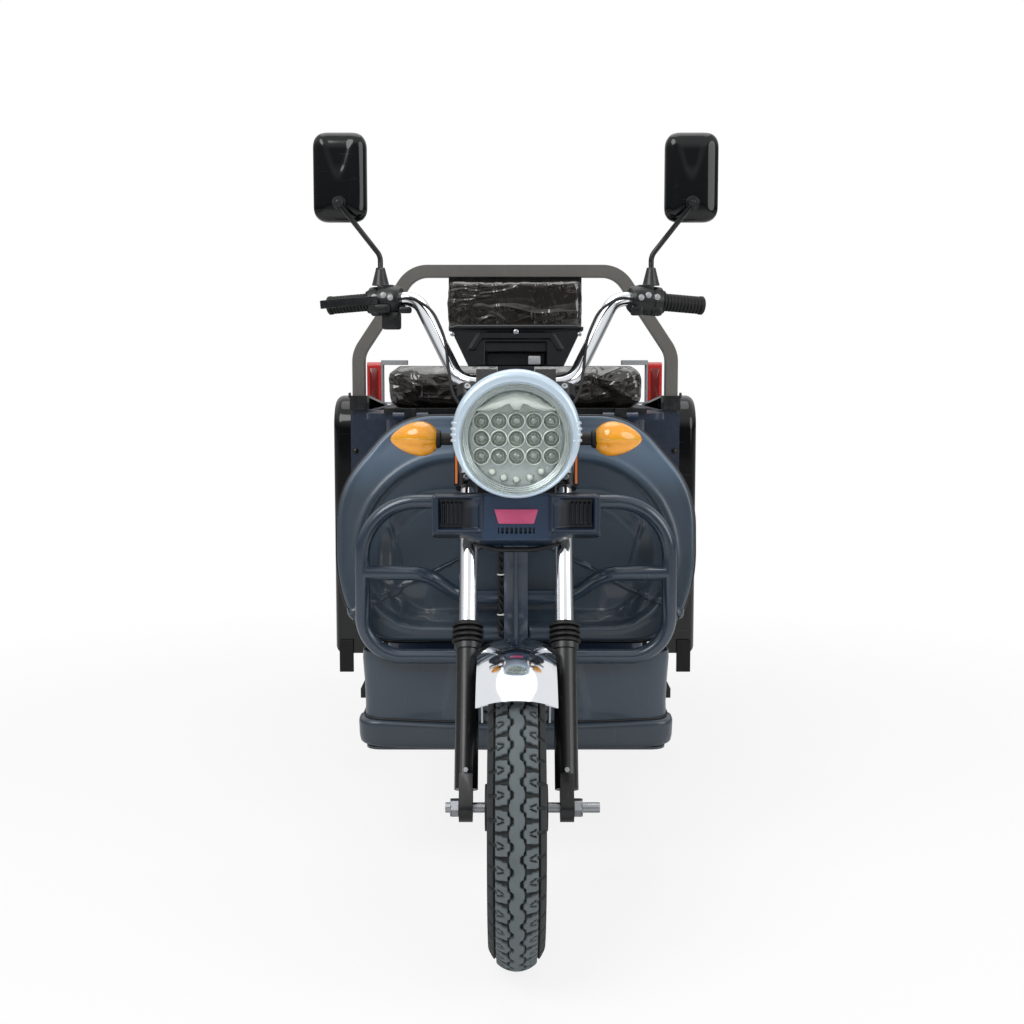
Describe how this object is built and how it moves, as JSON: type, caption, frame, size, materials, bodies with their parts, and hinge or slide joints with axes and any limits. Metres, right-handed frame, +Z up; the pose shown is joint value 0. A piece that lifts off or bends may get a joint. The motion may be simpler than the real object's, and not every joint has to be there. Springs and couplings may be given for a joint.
{
  "type": "electric cargo tricycle",
  "caption": "Small electric cargo tricycle with a raked fork, round headlamp, moulded leg shield, bench seat, rear hoop and an open cargo bed with a drop tailgate",
  "frame": {"origin": "on the ground under the middle of the whole vehicle", "axes": "+Y towards the rear along the vehicle, +X across, +Z up; the front wheel is at -Y"},
  "size_m": [0.774, 2.1584, 1.2758],
  "materials": {
    "tyre_rubber": "black road tyre rubber with deep moulded blocks",
    "wheel_paint": "dark grey painted steel wheels and drums",
    "chrome": "bright chrome on stanchions, handlebar and mudguard",
    "silver_trim": "silver painted moulded lamp bezel",
    "black_metal": "satin black painted steel",
    "slate_paint": "slate blue-grey painted tube",
    "slate_plastic": "slate blue-grey moulded shell with a soft sheen",
    "black_plastic": "black grained moulding",
    "gloss_black": "high-gloss black moulding",
    "hoop_paint": "warm dark grey satin tube",
    "rubber": "soft black rubber",
    "clear_lens": "clear lamp lens",
    "lamp_inner": "bright reflector with round lenses",
    "amber_lens": "amber signal lens",
    "red_lens": "red tail lamp lens",
    "light_grey": "light grey pressed steel",
    "seat_cover": "black seat cover under a clear wrinkled film",
    "bed_paint": "dark navy painted pressed steel",
    "mirror_glass": "silvered glass",
    "steel": "bare zinc-plated steel"
  },
  "bodies": {
    "chassis": {"main_frame": "black_metal", "leg_shield": "slate_plastic", "apron": "slate_plastic", "guard_bar": "slate_paint", "floor_board": "black_plastic", "seat_box": "bed_paint", "battery_pack": "black_plastic", "bed_floor": "bed_paint", "headboard": "bed_paint", "bed_sides": "bed_paint", "guard_hoop": "hoop_paint", "hoop_sockets": "black_metal", "backrest_board": "black_metal", "backrest_pad": "seat_cover", "fender_left": "gloss_black", "fender_right": "gloss_black", "mud_flaps": "rubber", "frame_loom": "rubber", "lamp_brackets": "light_grey", "tail_lamps": "red_lens", "rear_axle": "black_metal", "leaf_springs": "black_metal", "rear_beam": "black_metal"},
    "steering": {"stanchions": "chrome", "fork_lowers": "black_metal", "fork_boots": "rubber", "front_axle": "steel", "fork_yokes": "black_metal", "front_mudguard": "chrome", "headlamp_shell": "silver_trim", "headlamp_lens": "clear_lens", "headlamp_leds": "lamp_inner", "lamp_ears": "slate_paint", "turn_signals": "amber_lens", "horn_cover": "black_plastic", "handlebar": "chrome", "bar_risers": "black_metal", "grips": "rubber", "switchgear": "black_plastic", "brake_lever": "black_metal", "control_cables": "rubber", "mirror_stems": "black_metal", "mirror_heads": "gloss_black", "dash_cowl": "black_plastic", "cowl_bracket": "black_metal"},
    "front_wheel": {"tyre_front": "tyre_rubber", "wheel_front": "wheel_paint"},
    "rear_wheel_left": {"tyre_rear_left": "tyre_rubber", "wheel_rear_left": "wheel_paint"},
    "rear_wheel_right": {"tyre_rear_right": "tyre_rubber", "wheel_rear_right": "wheel_paint"},
    "seat": {"seat_pan": "black_metal", "seat_cushion": "seat_cover"},
    "tailgate": {"tailgate": "bed_paint"}
  },
  "joints": [
    {"name": "steer", "type": "hinge", "parent": "chassis", "child": "steering", "pos_m": [0, -0.5902, 0.68076], "axis": [0, 0.4226, 0.9063], "range_deg": [-35, 35]},
    {"name": "front_wheel_spin", "type": "hinge", "parent": "steering", "child": "front_wheel", "pos_m": [0, -0.85075, 0.2285], "axis": [1, 0, 0], "continuous": true},
    {"name": "rear_left_spin", "type": "hinge", "parent": "chassis", "child": "rear_wheel_left", "pos_m": [-0.262, 0.59925, 0.2285], "axis": [1, 0, 0], "continuous": true},
    {"name": "rear_right_spin", "type": "hinge", "parent": "chassis", "child": "rear_wheel_right", "pos_m": [0.262, 0.59925, 0.2285], "axis": [1, 0, 0], "continuous": true},
    {"name": "seat_hinge", "type": "hinge", "parent": "chassis", "child": "seat", "pos_m": [0, -0.16975, 0.78], "axis": [1, 0, 0], "range_deg": [0, 60]},
    {"name": "tailgate_hinge", "type": "hinge", "parent": "chassis", "child": "tailgate", "pos_m": [0, 1.04825, 0.494], "axis": [-1, 0, 0], "range_deg": [0, 90]}
  ]
}
